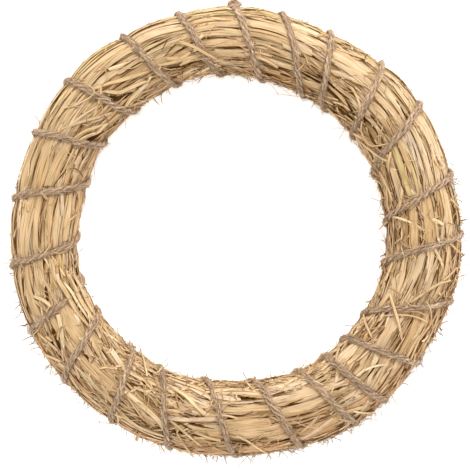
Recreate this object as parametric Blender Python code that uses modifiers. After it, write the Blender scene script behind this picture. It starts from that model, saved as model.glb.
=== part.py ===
"""Straw wreath: a ring of packed straw bound with one length of jute twine, lying flat.

The ring's axis is Z, the floor is z = 0 and the ring's middle is the origin. Ring angles run
counterclockwise from +X, seen from above. Section angles run round the straw bundle itself:
0 at its outer side, 90 on top, 180 at its inner side and 270 underneath.
"""

import math
import random

import bmesh
import bpy
from mathutils import Vector

# Straw bundle, in metres
OUTER_DIAMETER = 0.300
BUNDLE_WIDTH = 0.0478
PRESSED_FLAT = 0.0015
STALK_COUNT = 18
STALK_RELIEF = 0.0026

# Share by which the bundle is fuller on its full side, and thinner opposite
FULLNESS = 0.05
FULL_SIDE = -30.0

# Jute twine
TWINE_DIAMETER = 0.0038
TWINE_BITE = 0.0022
TWINE_POINTS_PER_TURN = 14
TWINE_SIDES_RESOLUTION = 1

# Ring angles, in degrees, where each turn of the twine crosses the outer side
WRAP_ANGLES = (
    90.1, 77.5, 64.1, 48.6, 34.5, 15.0, -0.5, -17.4, -35.1, -47.9, -57.0, -71.9,
    -89.1, -106.1, -122.5, -138.4, -153.4, -171.0, -188.6, -206.3, -222.0, -240.3, -255.6,
)

# Degrees by which each turn strays at the inner side, and the share of a pitch by which every
# turn lags over the top, because it runs steeper where the ring is wider
INNER_SHIFTS = (
    -4.5, -8.2, -2.7, -3.1, -2.3, -3.4, -2.9, -5.6, -1.9, -1.8, -1.5, -2.1,
    -2.9, -3.9, -0.6, -3.6, -0.1, 2.2, -1.0, 0.1, 0.4, -0.7, -2.3,
)
COURSE_LAG = 0.085

# Knot that joins the two ends of the twine, just behind the outer side of the first turn
KNOT_WIDTH = 0.0120
KNOT_SECTION_ANGLE = -16.0
KNOT_TAIL = 0.0110
KNOT_STRAND_SHARE = 0.72
KNOT_POINTS = 26

# Loose straws
LOOSE_THICKNESS = 0.0004
LOOSE_SEGMENTS = 6
LOOSE_TIP_SHARE = 0.35

# Gap that keeps pieces that touch from sharing any volume
CLEARANCE = 0.0003

# Each loose straw: its width in millimetres, then the stations it passes, each a ring angle,
# a section angle and a height over the bundle in millimetres
LOOSE_STRAWS = (
    (2.6, ((339.5, 126, 3.3), (332.8, 99, 4.1), (326.0, 66, 2.6))),
    (2.0, ((340.4, 78, 0.9), (344.9, 55, 1.4), (350.5, 14, 2.0))),
    (1.8, ((328.6, 168, 1.0), (325.5, 140, 1.2), (323.8, 118, 1.0))),
    (2.8, ((249.2, 132, 1.1), (256.5, 108, 1.6), (261.8, 88, 1.2))),
    (2.2, ((195.0, 118, 1.8), (200.0, 121, 3.7), (207.0, 126, 2.2), (210.8, 128, 1.0))),
    (1.8, ((195.0, 129, 1.8), (199.6, 131, 3.8), (206.0, 137, 2.0), (210.2, 141, 1.0))),
    (1.8, ((271.0, 70, 0.9), (275.2, 53, 1.4), (279.4, 18, 1.6))),
    (1.8, ((288.8, 60, 1.0), (292.0, 70, 1.8), (295.2, 78, 1.2))),
    (1.6, ((303.8, 56, 1.0), (306.5, 34, 1.5), (308.3, 12, 1.2))),
    (1.5, ((61.8, 176, 1.0), (66.0, 180, 3.2), (69.0, 181, 4.6), (73.0, 181, 6.0))),
    (2.0, ((39.6, 126, 1.2), (36.0, 143, 2.4), (32.4, 136, 3.0), (31.0, 124, 1.8))),
    (2.2, ((130.6, 80, 0.9), (128.0, 98, 1.8), (123.5, 112, 1.2))),
    (1.2, ((144.0, 54, 0.9), (141.0, 72, 1.6), (138.0, 86, 1.0))),
    (1.2, ((215.2, 26, 0.9), (217.6, 11, 4.0), (220.8, 3, 9.0))),
    (1.2, ((352.0, 12, 1.2), (348.0, 4, 4.4), (343.8, 0, 7.0))),
    (2.2, ((106.0, 86, 1.0), (102.6, 98, 2.8), (98.6, 114, 3.8), (95.5, 126, 2.6))),
    (3.0, ((111.0, 106, 0.9), (107.0, 111, 2.0), (103.4, 108, 1.4))),
    (1.8, ((254.6, 62, 0.9), (258.5, 32, 1.6), (260.2, 10, 3.5))),
    (1.4, ((8.4, 44, 1.0), (6.5, 34, 2.2), (4.5, 25, 4.0))),
    (1.6, ((3.6, 160, 1.0), (2.4, 172, 2.6), (0.6, 182, 5.0))),
    (1.8, ((240.2, 150, 1.0), (237.8, 168, 2.4), (235.8, 180, 5.0))),
    (1.0, ((66.4, 14, 0.9), (68.4, 6, 3.2), (70.2, 2, 6.5))),
    (2.6, ((241.2, 12, 1.0), (243.2, 4, 2.4), (245.0, 0, 4.5))),
)

# Sizes worked out from the ones above
RING_RADIUS = (OUTER_DIAMETER - BUNDLE_WIDTH) / 2
TWINE_RADIUS = TWINE_DIAMETER / 2
WRAP_COUNT = len(WRAP_ANGLES)
BUNDLE_EDGES = 2 * STALK_COUNT

# Rows of the bundle in each pitch of the twine: both sides of its groove, then the bulge between
GROOVE_HALF_WIDTH = TWINE_RADIUS + CLEARANCE
BULGE_SHARES = (0.32, 0.68)
ROWS_PER_WRAP = 2 + len(BULGE_SHARES)
GROOVE_RELIEF_SHARE = 0.4


def clear_scene():
    for thing in list(bpy.data.objects):
        bpy.data.objects.remove(thing, do_unlink=True)


def new_collection(name):
    collection = bpy.data.collections.new(name)
    bpy.context.scene.collection.children.link(collection)
    return collection


def new_material(name, colour, roughness):
    material = bpy.data.materials.new(name)
    material.use_nodes = True
    shader = material.node_tree.nodes["Principled BSDF"]
    shader.inputs["Base Color"].default_value = (*colour, 1.0)
    shader.inputs["Roughness"].default_value = roughness
    shader.inputs["Metallic"].default_value = 0.0
    return material


def add_object(name, data, collection, material):
    thing = bpy.data.objects.new(name, data)
    data.materials.append(material)
    collection.objects.link(thing)
    return thing


def spline_between(before, start, end, after, share):
    """Catmull-Rom curve from start, at share 0, to end, at share 1."""
    bend = 2 * before - 5 * start + 4 * end - after
    twist = 3 * start - before - 3 * end + after
    return start + 0.5 * share * ((end - before) + share * (bend + share * twist))


def wrap_angle(turn):
    """Ring angle, in degrees, where a whole-numbered turn crosses the outer side."""
    rounds, place = divmod(turn, WRAP_COUNT)
    return WRAP_ANGLES[place] - 360.0 * rounds


def angle_beyond(wrap, share_of_turn, share_of_pitch):
    """Ring angle, in radians, at a share of the way from one turn of the twine to the next."""
    pitches = share_of_turn - COURSE_LAG * math.sin(math.tau * share_of_turn) + share_of_pitch
    whole = wrap + math.floor(pitches)
    nearby = [wrap_angle(whole + step) for step in (-1, 0, 1, 2)]
    here, there = (INNER_SHIFTS[place % WRAP_COUNT] for place in (wrap, wrap + 1))
    shift = here + (there - here) * share_of_pitch
    inner_share = math.sin(math.pi * share_of_turn) ** 2
    return math.radians(spline_between(*nearby, pitches % 1.0) + shift * inner_share)


def twine_angle(turns):
    """Ring angle of the twine, in radians, after that many turns, counted from an outer side."""
    wrap = math.floor(turns)
    return angle_beyond(wrap, turns - wrap, 0.0)


def bundle_radius(ring_angle):
    """Radius of the straw bundle over its stalks at this ring angle."""
    return BUNDLE_WIDTH / 2 * (1 + FULLNESS * math.cos(ring_angle - math.radians(FULL_SIDE)))


def over_bundle(ring_angle, section_angle, height):
    """Point at this height over the round bundle, before anything is pressed flat."""
    distance = bundle_radius(ring_angle) + height
    middle = bundle_radius(ring_angle) - PRESSED_FLAT
    reach = RING_RADIUS + distance * math.cos(section_angle)
    return Vector((
        reach * math.cos(ring_angle),
        reach * math.sin(ring_angle),
        middle + distance * math.sin(section_angle),
    ))


def pressed(point, lowest):
    """The point, pushed up to the lowest height that it may have."""
    return Vector((point.x, point.y, max(point.z, lowest)))


# Height of the twine's centreline over the bundle. Its straight steps cut the corner of the
# round groove by chord_dip, so it lies that much further out.
WIDEST_RADIUS = BUNDLE_WIDTH / 2 * (1 + FULLNESS)
CHORD_DIP = WIDEST_RADIUS * (1 - math.cos(math.pi / TWINE_POINTS_PER_TURN))
TWINE_HEIGHT = CLEARANCE + CHORD_DIP + TWINE_RADIUS - TWINE_BITE
TWINE_LOWEST = TWINE_RADIUS + CLEARANCE / 2
GROOVE_LOWEST = TWINE_LOWEST + TWINE_RADIUS + CLEARANCE + CHORD_DIP


def stalk_table(seed):
    """A fixed number from 0 to 1 for each stalk edge in each span between two turns."""
    source = random.Random(seed)
    return [[source.random() for _ in range(WRAP_COUNT)] for _ in range(BUNDLE_EDGES)]


def bundle_vertex(row, edge, depths, drifts):
    """Point of the straw surface on one of its rows, which run along the twine, at one stalk edge.

    The stalks that the floor presses flat lie level, with no valleys between them.
    """
    wrap, part = divmod(row, ROWS_PER_WRAP)
    rounds, stalk_edge = divmod(edge, BUNDLE_EDGES)
    span = (wrap + rounds) % WRAP_COUNT
    share_of_turn = edge / BUNDLE_EDGES
    in_groove = part < 2
    if in_groove:
        side = 1 if part == 0 else -1
        ring_angle = twine_angle(wrap + share_of_turn) + side * GROOVE_HALF_WIDTH / RING_RADIUS
    elif share_of_turn < 1:
        ring_angle = angle_beyond(wrap, share_of_turn, BULGE_SHARES[part - 2])
    else:
        ring_angle = angle_beyond(wrap + 1, 0.0, BULGE_SHARES[part - 2])
    valley = stalk_edge % 2
    depth = STALK_RELIEF * ((0.55 if valley else 0.0) + 0.45 * depths[stalk_edge][span])
    drift = (drifts[stalk_edge][span] - 0.5) * 0.25 * math.tau / BUNDLE_EDGES
    section_angle = math.tau * share_of_turn
    if in_groove:
        point = over_bundle(ring_angle, section_angle, -TWINE_BITE - GROOVE_RELIEF_SHARE * depth)
        return pressed(point, GROOVE_LOWEST)
    over_stalks = over_bundle(ring_angle, section_angle, 0.0)
    if over_stalks.z < 0:
        return pressed(over_stalks, 0.0)
    point = over_bundle(ring_angle, section_angle + drift, -depth)
    return pressed(point, 0.0)


def make_straw_ring(collection, material):
    """The packed straw, as one body: a flat grid rolled up along the twine, then welded shut."""
    rows = ROWS_PER_WRAP * WRAP_COUNT
    half = 0.5
    depths = stalk_table(11)
    drifts = stalk_table(12)
    shape = bmesh.new()
    bmesh.ops.create_grid(shape, x_segments=rows, y_segments=BUNDLE_EDGES, size=half)
    for vertex in shape.verts:
        row = round((vertex.co.x / half + 1) / 2 * rows)
        edge = round((vertex.co.y / half + 1) / 2 * BUNDLE_EDGES)
        vertex.co = bundle_vertex(row, edge, depths, drifts)
    bmesh.ops.remove_doubles(shape, verts=shape.verts, dist=0.00001)
    bmesh.ops.recalc_face_normals(shape, faces=shape.faces)
    bmesh.ops.triangulate(shape, faces=shape.faces)
    mesh = bpy.data.meshes.new("straw_ring")
    shape.to_mesh(mesh)
    shape.free()
    mesh.shade_smooth()
    mesh.set_sharp_from_angle(angle=math.radians(30))
    return add_object("straw_ring", mesh, collection, material)


def tube(name, points, collection, material):
    """A length of twine through these points, with closed ends."""
    curve = bpy.data.curves.new(name, "CURVE")
    curve.dimensions = "3D"
    curve.bevel_depth = TWINE_RADIUS
    curve.bevel_resolution = TWINE_SIDES_RESOLUTION
    curve.use_fill_caps = True
    spline = curve.splines.new("POLY")
    spline.points.add(len(points) - 1)
    for place, point in zip(spline.points, points):
        place.co = (*point, 1.0)
    return add_object(name, curve, collection, material)


def twine_point(turns):
    ring_angle = twine_angle(turns)
    section_angle = math.tau * (turns - math.floor(turns))
    return pressed(over_bundle(ring_angle, section_angle, TWINE_HEIGHT), TWINE_LOWEST)


def make_twine(collection, material):
    """The binding: one turn after another round the bundle, with both ends at the knot."""
    knot_turn = KNOT_SECTION_ANGLE / 360.0
    turn_length = math.tau * (BUNDLE_WIDTH / 2 + TWINE_HEIGHT)
    end_gap = (KNOT_WIDTH / 2 + 4 * CLEARANCE) / turn_length
    first = knot_turn + end_gap
    last = knot_turn + WRAP_COUNT - end_gap
    steps = round((last - first) * TWINE_POINTS_PER_TURN)
    points = [twine_point(first + (last - first) * step / steps) for step in range(steps + 1)]
    return tube("jute_twine", points, collection, material)


def make_knot(collection, material):
    """An overhand knot with two short tails, drawn tight, so its strands are thinner than the twine."""
    strand_radius = KNOT_STRAND_SHARE * TWINE_RADIUS
    unit = (KNOT_WIDTH / 2 - strand_radius) / 3
    rise = 1.15 * unit
    opening = 0.62
    flat_points = [
        Vector((-2.9 * unit, -KNOT_TAIL - 1.2 * unit, -rise)),
        Vector((-2.9 * unit, -4.3 * unit, -0.7 * rise)),
    ]
    for step in range(KNOT_POINTS + 1):
        turn = opening / 2 + (math.tau - opening) * step / KNOT_POINTS
        reach = unit * (2 + math.cos(3 * turn))
        height = rise * math.sin(3 * turn)
        flat_points.append(Vector((reach * math.sin(2 * turn), -reach * math.cos(2 * turn), height)))
    flat_points.append(Vector((2.7 * unit, -4.3 * unit, -0.7 * rise)))
    flat_points.append(Vector((3.4 * unit, -KNOT_TAIL, -rise)))

    ring_angle = twine_angle(KNOT_SECTION_ANGLE / 360.0)
    section_angle = math.radians(KNOT_SECTION_ANGLE)
    seat = rise + strand_radius + 2 * CLEARANCE
    outer_radius = OUTER_DIAMETER / 2
    points = []
    for point in flat_points:
        round_bundle = section_angle + point.y / bundle_radius(ring_angle)
        sideways = twine_angle(round_bundle / math.tau) + point.x / outer_radius
        points.append(over_bundle(sideways, round_bundle, seat + point.z))
    knot = tube("twine_knot", points, collection, material)
    knot.data.bevel_depth = strand_radius
    return knot


def gap_to_twine(ring_angle, section_angle):
    """Distance along the ring to the nearest turn of the twine."""
    share_of_turn = (section_angle / math.tau) % 1.0
    nearest = math.pi
    for wrap in range(WRAP_COUNT):
        apart = ring_angle - angle_beyond(wrap, share_of_turn, 0.0)
        nearest = min(nearest, abs(math.remainder(apart, math.tau)))
    return nearest * (RING_RADIUS + BUNDLE_WIDTH / 2 * math.cos(section_angle))


def station_at(stations, share):
    """Ring angle, section angle and height, in metres, at a share of the way along a loose straw."""
    spans = len(stations) - 1
    span = min(int(share * spans), spans - 1)
    nearby = [stations[min(max(span + step, 0), spans)] for step in (-1, 0, 1, 2)]
    place = [spline_between(*values, share * spans - span) for values in zip(*nearby)]
    return math.radians(place[0]), math.radians(place[1]), place[2] / 1000


def loose_straw_height(stations, share):
    """Height over the bundle. A straw that crosses the twine passes over it."""
    ring_angle, section_angle, height = station_at(stations, share)
    ends = [over_bundle(*station_at(stations, end)) for end in (0.0, 1.0)]
    reach = TWINE_RADIUS + (ends[1] - ends[0]).length / LOOSE_SEGMENTS
    if gap_to_twine(ring_angle, section_angle) > reach:
        return height
    return max(height, TWINE_HEIGHT + TWINE_RADIUS + LOOSE_THICKNESS + CLEARANCE)


def loose_straw_point(stations, share):
    ring_angle, section_angle, _ = station_at(stations, share)
    return over_bundle(ring_angle, section_angle, loose_straw_height(stations, share))


def loose_straw_outward(stations, share):
    ring_angle, section_angle, _ = station_at(stations, share)
    return over_bundle(ring_angle, section_angle, 1.0) - over_bundle(ring_angle, section_angle, 0.0)


def make_loose_straw(number, width, stations, collection, material):
    """A flat straw that has worked loose: a narrow grid laid along its stations, given its thickness."""
    half = 0.5
    step = 1 / LOOSE_SEGMENTS
    shape = bmesh.new()
    bmesh.ops.create_grid(shape, x_segments=LOOSE_SEGMENTS, y_segments=1, size=half)
    for vertex in shape.verts:
        share = min(max(vertex.co.x + half, 0.0), 1.0)
        side = vertex.co.y / half
        before = loose_straw_point(stations, max(share - step / 2, 0.0))
        after = loose_straw_point(stations, min(share + step / 2, 1.0))
        across = loose_straw_outward(stations, share).cross(after - before).normalized()
        taper = LOOSE_TIP_SHARE + (1 - LOOSE_TIP_SHARE) * math.sin(math.pi * share)
        middle = loose_straw_point(stations, share)
        vertex.co = middle + side * taper * width / 2000 * across
    name = f"loose_straw_{number:02d}"
    mesh = bpy.data.meshes.new(name)
    shape.to_mesh(mesh)
    shape.free()
    straw = add_object(name, mesh, collection, material)
    thickness = straw.modifiers.new("Thickness", "SOLIDIFY")
    thickness.thickness = LOOSE_THICKNESS
    thickness.offset = 0.0
    return straw


def main():
    clear_scene()
    wreath = new_collection("Straw wreath")
    straw = new_material("Dry straw", (0.72, 0.53, 0.29), 0.75)
    loose = new_material("Loose straw", (0.80, 0.62, 0.36), 0.70)
    jute = new_material("Jute twine", (0.42, 0.28, 0.19), 0.90)
    make_straw_ring(wreath, straw)
    make_twine(wreath, jute)
    make_knot(wreath, jute)
    for number, (width, stations) in enumerate(LOOSE_STRAWS, start=1):
        make_loose_straw(number, width, stations, wreath, loose)


main()
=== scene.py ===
import math

import bpy
import numpy as np
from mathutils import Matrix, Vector


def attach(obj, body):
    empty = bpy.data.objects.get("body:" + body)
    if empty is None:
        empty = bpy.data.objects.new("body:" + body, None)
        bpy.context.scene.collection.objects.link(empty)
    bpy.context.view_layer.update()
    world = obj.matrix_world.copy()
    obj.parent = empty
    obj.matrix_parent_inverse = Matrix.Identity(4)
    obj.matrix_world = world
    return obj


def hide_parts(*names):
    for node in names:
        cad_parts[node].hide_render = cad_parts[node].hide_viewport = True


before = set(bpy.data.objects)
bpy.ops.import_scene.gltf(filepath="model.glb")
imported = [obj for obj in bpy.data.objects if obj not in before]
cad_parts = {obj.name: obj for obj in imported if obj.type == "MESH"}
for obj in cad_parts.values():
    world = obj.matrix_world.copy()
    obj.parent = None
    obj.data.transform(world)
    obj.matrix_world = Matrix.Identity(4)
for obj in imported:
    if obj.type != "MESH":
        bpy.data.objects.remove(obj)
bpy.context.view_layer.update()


# Table, light and camera. The wreath lies on a pale matt table with a white sweep around it, and
# the camera looks straight down. One soft lamp stands beyond the far side, where the knot is, and a
# larger one hangs above.
def linear(red, green, blue):
    """A colour read off a screen, from 0 to 255, as the shaders take it."""
    channels = [c / 255 for c in (red, green, blue)]
    return tuple(c / 12.92 if c <= 0.04045 else ((c + 0.055) / 1.055) ** 2.4 for c in channels)


def soft_lamp(name, position, target, size, power):
    light = bpy.data.lights.new(name, "AREA")
    light.shape = "DISK"
    light.size = size
    light.energy = power
    lamp = bpy.data.objects.new(name, light)
    bpy.context.scene.collection.objects.link(lamp)
    lamp.location = position
    lamp.rotation_euler = (Vector(target) - Vector(position)).to_track_quat("-Z", "Y").to_euler()


def white_matt(name, glow):
    """A white surface that glows a little, so that it stays white in the picture."""
    material = bpy.data.materials.new(name)
    material.use_nodes = True
    inputs = material.node_tree.nodes["Principled BSDF"].inputs
    inputs["Base Color"].default_value = (0.86, 0.86, 0.86, 1.0)
    inputs["Roughness"].default_value = 0.9
    inputs["Emission Color"].default_value = (1.0, 1.0, 1.0, 1.0)
    inputs["Emission Strength"].default_value = glow
    return material


bpy.ops.object.select_all(action="DESELECT")
bpy.ops.mesh.primitive_plane_add(size=6.0, location=(0, 0, -0.0002))
table = bpy.context.object
table.name = "table"
table.data.materials.append(white_matt("pale table", 0.60))

bpy.ops.object.select_all(action="DESELECT")
bpy.ops.mesh.primitive_cylinder_add(
    vertices=96, radius=2.8, depth=1.3, end_fill_type="NOTHING", location=(0, 0, 0.64)
)
sweep = bpy.context.object
sweep.name = "white_sweep"
sweep.data.shade_smooth()
sweep.data.materials.append(white_matt("white sweep", 1.02))

soft_lamp("lamp_far", (0.35, 1.1, 1.2), (0, 0, 0.02), 0.45, 17.2)
soft_lamp("lamp_above", (-0.2, 0.15, 1.9), (0, 0, 0.02), 0.8, 9.5)

world = bpy.data.worlds.new("studio")
bpy.context.scene.world = world
world.use_nodes = True
world.node_tree.nodes["Background"].inputs["Color"].default_value = (1.0, 1.0, 1.0, 1.0)
world.node_tree.nodes["Background"].inputs["Strength"].default_value = 0.40
bpy.context.scene.view_settings.view_transform = "Standard"

# The picture's width in pixels, and how wide a pixel is at the height of the bundle's middle.
PHOTO_WIDTH = 470
PIXEL = 0.000668
CAMERA_HEIGHT = 1.071
BUNDLE_MIDDLE = 0.024
camera_data = bpy.data.cameras.new("camera")
camera_data.lens = camera_data.sensor_width * (CAMERA_HEIGHT - BUNDLE_MIDDLE) / (PHOTO_WIDTH * PIXEL)
camera = bpy.data.objects.new("camera", camera_data)
camera.location = (0.0013, -0.00245, CAMERA_HEIGHT)
bpy.context.scene.collection.objects.link(camera)
bpy.context.scene.camera = camera


# Packed heart of the ring. Under the outer straws lies a tight mass of more straw, coloured dark brown as
# painted shade, which shows as brown slits wherever two of them part. The twine squeezes it in at every
# turn.
RING_RADIUS = 0.1267
BUNDLE_RADIUS = 0.0234
PRESSED_FLAT = 0.0015
HEART_DEPTH = 0.0022
HEART_STEPS = 8
HEART_CORNERS = 48
# Waves round the ring, which isn't quite even: how many, how far in metres, and the first crest's phase.
BUNDLE_SWELL = ((1, 0.0012, -30), (3, 0.0004, 60), (8, 0.0004, 300))
RING_SWAY = ((2, 0.0004, 310), (3, 0.0009, 295), (4, 0.0005, 115), (7, 0.0007, 285))
# Where each turn of the twine crosses the outer side, in degrees round the ring, and how much further
# on it crosses the inner side than an even helix would.
WRAP_ANGLES = np.array((
    90.1, 77.5, 64.1, 48.6, 34.5, 15.0, -0.5, -17.4, -35.1, -47.9, -57.0, -71.9,
    -89.1, -106.1, -122.5, -138.4, -153.4, -171.0, -188.6, -206.3, -222.0, -240.3, -255.6,
))
INNER_SHIFTS = np.array((
    -4.5, -8.2, -2.7, -3.1, -2.3, -3.4, -2.9, -5.6, -1.9, -1.8, -1.5, -2.1,
    -2.9, -3.9, -0.6, -3.6, -0.1, 2.2, -1.0, 0.1, 0.4, -0.7, -2.3,
))
COURSE_LAG = 0.085
WRAPS = len(WRAP_ANGLES)
# The straw is pressed close to the twine and sinks a little further off. Between, it swells.
PRESS_REACH, SINK_REACH = 0.0032, 0.0090
PRESS_DEPTH, SINK_DEPTH = 0.0008, 0.0006
FULLNESS = 0.0006
LAYERS_PRESSED = 0.6
TABLE_GAP = 0.0001


def waves(angle, crests):
    return sum(size * np.cos(count * angle - math.radians(phase)) for count, size, phase in crests)


def wrap_angle(turn):
    turn = turn.astype(int)
    return WRAP_ANGLES[turn % WRAPS] - 360.0 * (turn // WRAPS)


def smooth(before, start, end, after, share):
    """A place between the middle two of four values, on a smooth curve through them all."""
    bend, twist = 2 * before - 5 * start + 4 * end - after, 3 * start - before - 3 * end + after
    return start + 0.5 * share * ((end - before) + share * (bend + share * twist))


def ring_angle(pitch, turn):
    """Ring angle at a place counted in pitches of the twine along the ring and turns round it."""
    whole_turns = np.floor(turn)
    pitch = pitch + whole_turns
    turn = turn - whole_turns
    advanced = pitch + turn - COURSE_LAG * np.sin(math.tau * turn)
    whole = np.floor(advanced)
    angle = smooth(*(wrap_angle(whole + step) for step in (-1, 0, 1, 2)), advanced - whole)
    wrap = np.floor(pitch).astype(int)
    here, there = INNER_SHIFTS[wrap % WRAPS], INNER_SHIFTS[(wrap + 1) % WRAPS]
    shift = here + (there - here) * (pitch - wrap)
    return np.radians(angle + shift * np.sin(math.pi * turn) ** 2)


def over_bundle(angle, section, height):
    """Points at a height over the round bundle, at a ring angle and a section angle."""
    radius = BUNDLE_RADIUS + waves(angle, BUNDLE_SWELL)
    reach = RING_RADIUS + waves(angle, RING_SWAY) + (radius + height) * np.cos(section)
    level = radius - PRESSED_FLAT + (radius + height) * np.sin(section)
    return np.stack([reach * np.cos(angle), reach * np.sin(angle), level], -1)


def packing(angle, section, seed):
    """Slow changes over the hand-packed bundle, from -1 to 1: in fullness, tone or tint."""
    return (
        0.40 * np.sin(9 * angle + 2 * section + 0.7 * seed)
        + 0.30 * np.sin(17 * angle - 3 * section + 2.1 * seed)
        + 0.30 * np.sin(29 * angle + 4 * section + 4.0 * seed)
    )


def on_bundle(pitch, turn, height, lowest=TABLE_GAP):
    """Points on the bound bundle: it dips under every turn of the twine, which presses all layers."""
    angle = ring_angle(pitch, turn)
    section = math.tau * turn
    wrap = np.floor(pitch + np.floor(turn))
    pitch_length = np.radians(wrap_angle(wrap) - wrap_angle(wrap + 1))
    gap = np.abs(pitch - np.round(pitch)) * pitch_length * (RING_RADIUS + BUNDLE_RADIUS * np.cos(section))
    pressed = np.exp(-((gap / PRESS_REACH) ** 2))
    dip = PRESS_DEPTH * pressed + SINK_DEPTH * np.exp(-((gap / SINK_REACH) ** 2))
    rise = FULLNESS * packing(angle, section, 1) * (1 - pressed)
    points = over_bundle(angle, section, height * (1 - LAYERS_PRESSED * pressed) - dip + rise)
    points[..., 2] = np.maximum(points[..., 2], lowest)
    return points


bpy.ops.object.select_all(action="DESELECT")
bpy.ops.mesh.primitive_torus_add(
    major_radius=RING_RADIUS, minor_radius=BUNDLE_RADIUS,
    major_segments=HEART_STEPS * WRAPS, minor_segments=HEART_CORNERS,
)
heart = bpy.context.object
heart.name = "packed_straw_heart"
corners = np.empty(len(heart.data.vertices) * 3)
heart.data.vertices.foreach_get("co", corners)
corners = corners.reshape(-1, 3)
round_ring = (np.arctan2(corners[:, 1], corners[:, 0]) % math.tau) / math.tau
round_ring = np.round(round_ring * HEART_STEPS * WRAPS) / HEART_STEPS
round_bundle = np.arctan2(corners[:, 2], np.hypot(corners[:, 0], corners[:, 1]) - RING_RADIUS)
round_bundle = np.round((round_bundle % math.tau) / math.tau * HEART_CORNERS) / HEART_CORNERS
corners = on_bundle(-round_ring, round_bundle, -HEART_DEPTH, 0.0004)
heart.data.vertices.foreach_set("co", corners.ravel())
heart.data.update()
heart.data.shade_smooth()


class Finish:
    """A material under way: its nodes and the few steps that the finishes here are made of."""

    def __init__(self, name, roughness, specular):
        self.material = bpy.data.materials.new(name)
        self.material.use_nodes = True
        self.nodes, self.links = self.material.node_tree.nodes, self.material.node_tree.links
        self.shader = self.nodes["Principled BSDF"].inputs
        self.join(roughness, self.shader["Roughness"])
        self.join(specular, self.shader["Specular IOR Level"])

    def join(self, value, socket):
        if hasattr(value, "links"):
            self.links.new(value, socket)
        else:
            socket.default_value = (*value, 1.0) if isinstance(value, tuple) else value

    def node(self, kind, output, inputs, **settings):
        """One output of a new node, with values or links for some of its inputs."""
        node = self.nodes.new(kind)
        for setting, value in settings.items():
            setattr(node, setting, value)
        for socket, value in inputs.items():
            self.join(value, node.inputs[socket])
        return node.outputs[output]

    def blend(self, kind, factor, first, second):
        inputs = {0: factor, 6: first, 7: second}
        return self.node("ShaderNodeMix", 2, inputs, data_type="RGBA", blend_type=kind)

    def spread(self, value, low, high, to_low, to_high):
        inputs = {"Value": value, "From Min": low, "From Max": high, "To Min": to_low, "To Max": to_high}
        return self.node("ShaderNodeMapRange", "Result", inputs)

    def product(self, first, second):
        return self.node("ShaderNodeMath", 0, {0: first, 1: second}, operation="MULTIPLY")

    def grain(self, along, across, detail):
        """Noise drawn out along each strand."""
        run = self.node("ShaderNodeUVMap", "UV", {}, uv_map="run")
        place = self.node("ShaderNodeMapping", "Vector", {"Vector": run, "Scale": [along, across, 1.0]})
        return self.node("ShaderNodeTexNoise", "Fac", {"Vector": place, "Scale": 1.0, "Detail": detail})

    def looks(self):
        """The four values that each strand carries."""
        look = self.nodes.new("ShaderNodeAttribute")
        look.attribute_name = "look"
        parts = self.nodes.new("ShaderNodeSeparateColor")
        self.links.new(look.outputs["Color"], parts.inputs["Color"])
        return parts.outputs["Red"], parts.outputs["Green"], parts.outputs["Blue"], look.outputs["Alpha"]

    def ramp(self, factor, shades):
        ramp = self.nodes.new("ShaderNodeValToRGB")
        while len(ramp.color_ramp.elements) < len(shades):
            ramp.color_ramp.elements.new(0.5)
        for element, (position, colour) in zip(ramp.color_ramp.elements, shades):
            element.position = position
            element.color = (*linear(*colour), 1.0)
        self.links.new(factor, ramp.inputs["Fac"])
        return ramp.outputs["Color"]

    def bump(self, height, strength, distance):
        inputs = {"Height": height, "Strength": strength, "Distance": distance}
        self.join(self.node("ShaderNodeBump", "Normal", inputs), self.shader["Normal"])


def painted_shade_material(name, dark, pale):
    """Painted shade: straw coloured dark, as if in the shade deep in the bundle."""
    finish = Finish(name, 0.9, 0.05)
    place = finish.node("ShaderNodeTexCoord", "Object", {})
    noise = finish.node("ShaderNodeTexNoise", "Fac", {"Vector": place, "Scale": 260.0})
    finish.join(finish.ramp(noise, ((0.35, dark), (0.7, pale))), finish.shader["Base Color"])
    return finish.material


# Painted shade: the heart's dark brown stands in for the shade between the straws.
painted_shade_finish = painted_shade_material("shaded straw heart", (66, 38, 8), (118, 76, 28))
heart.data.materials.append(painted_shade_finish)
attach(heart, "root")
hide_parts("straw_ring")


# Bound straws. They are flattened stalks and leaf blades that run along the ring, one beside
# and over the other, each from under one turn of twine to under another.
def strand_blank(sides, cuts):
    """Corners and faces of a straight strand, one unit long and from -1 to 1 across and in depth."""
    bpy.context.tool_settings.mesh_select_mode = (False, True, False)
    bpy.ops.object.select_all(action="DESELECT")
    bpy.ops.mesh.primitive_cylinder_add(vertices=sides, radius=1.0, depth=1.0, location=(0, 0, 0.5))
    blank = bpy.context.object
    bpy.ops.object.transform_apply(location=True, rotation=True, scale=True)
    for number in cuts:
        for part in (*blank.data.polygons, *blank.data.vertices):
            part.select = False
        for edge_shade in blank.data.edges:
            low, high = (blank.data.vertices[place].co.z for place in edge_shade.vertices)
            edge_shade.select = abs(low - high) > 1e-6
        bpy.ops.object.mode_set(mode="EDIT")
        bpy.ops.mesh.subdivide(number_cuts=number)
        bpy.ops.object.mode_set(mode="OBJECT")
    points = np.array([vertex.co[:] for vertex in blank.data.vertices])
    points[:, :2] /= np.abs(points[:, :2]).max(axis=0)
    faces = [list(face.vertices) for face in blank.data.polygons]
    bpy.data.objects.remove(blank, do_unlink=True)
    return points, faces


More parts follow.
